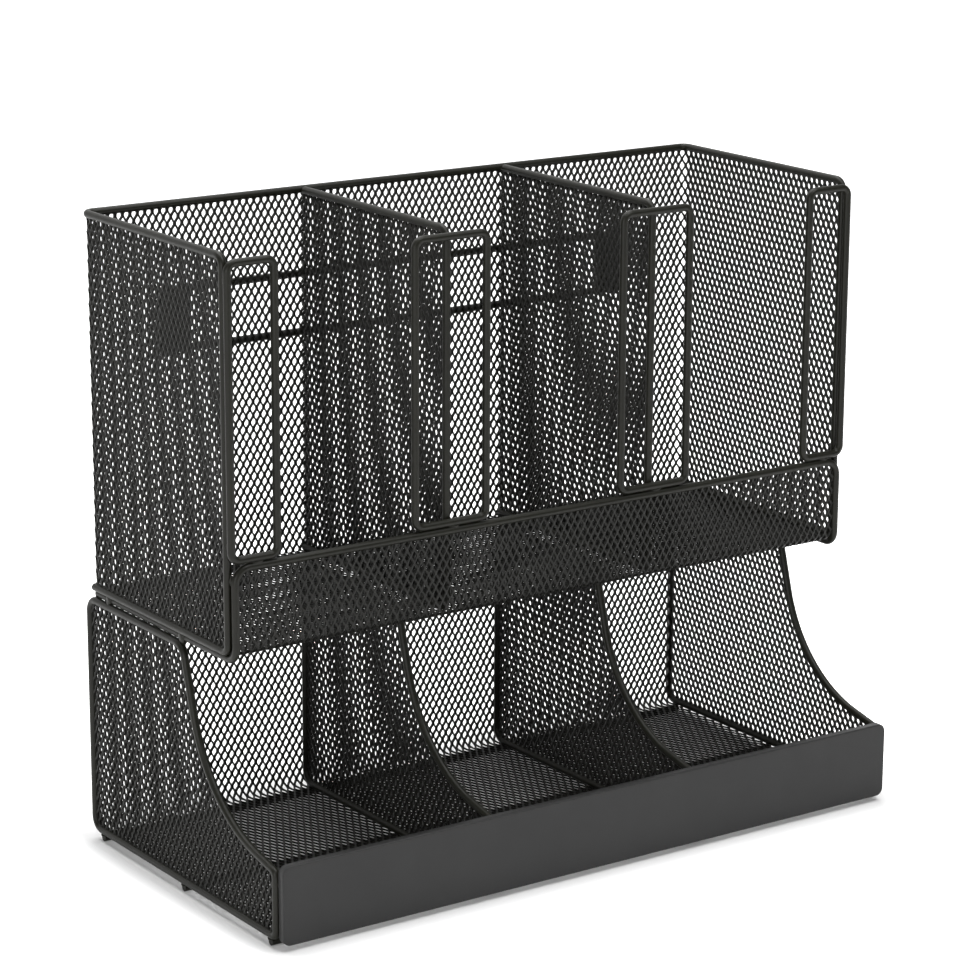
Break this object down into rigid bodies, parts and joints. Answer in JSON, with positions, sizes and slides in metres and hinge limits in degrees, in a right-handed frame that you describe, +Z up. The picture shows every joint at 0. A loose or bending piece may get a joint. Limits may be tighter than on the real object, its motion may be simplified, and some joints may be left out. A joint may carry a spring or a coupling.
{
  "type": "coffee station organizer",
  "caption": "Countertop organizer of bent steel wire and expanded mesh: tall open bays with retaining loops over low bays with hollowed sides and a solid front plate.",
  "frame": {"origin": "On the floor under the middle of the whole outline: the point midway across the width and the depth, at the lowest line of the foot wires.", "axes": "+X runs to the right when the front plate is faced, -Y points out of the front plate to the user, and +Z points up."},
  "size_m": [0.3436, 0.1716, 0.3003],
  "materials": {
    "wire": "satin black powder coat on round wire",
    "mesh": "satin black powder coat on expanded sheet",
    "plate": "fine satin dark grey powder coat on sheet"
  },
  "bodies": {
    "root": {"upper_rim_wire": "wire", "upper_tray_wire": "wire", "upper_divider_wire_left": "wire", "upper_divider_wire_right": "wire", "retaining_loop_left": "wire", "retaining_loop_mid_left": "wire", "retaining_loop_mid_right": "wire", "retaining_loop_right": "wire", "upper_back_mesh": "mesh", "upper_side_mesh_left": "mesh", "upper_side_mesh_right": "mesh", "upper_divider_mesh_left": "mesh", "upper_divider_mesh_right": "mesh", "upper_floor_mesh": "mesh", "upper_front_mesh": "mesh", "rear_rail_upper": "wire", "rear_rail_lower": "wire", "rear_tab_left": "wire", "rear_tab_right": "wire", "lower_side_frame_left": "wire", "lower_side_frame_right": "wire", "lower_divider_frame_left": "wire", "lower_divider_frame_right": "wire", "lower_side_mesh_left": "mesh", "lower_side_mesh_right": "mesh", "lower_divider_mesh_left": "mesh", "lower_divider_mesh_right": "mesh", "lower_back_mesh": "mesh", "lower_floor_mesh": "mesh", "back_cross_wire": "wire", "front_loop_wire": "wire", "foot_wire_back": "wire", "foot_wire_middle": "wire", "foot_wire_front": "wire", "front_plate": "plate"}
  },
  "joints": []
}
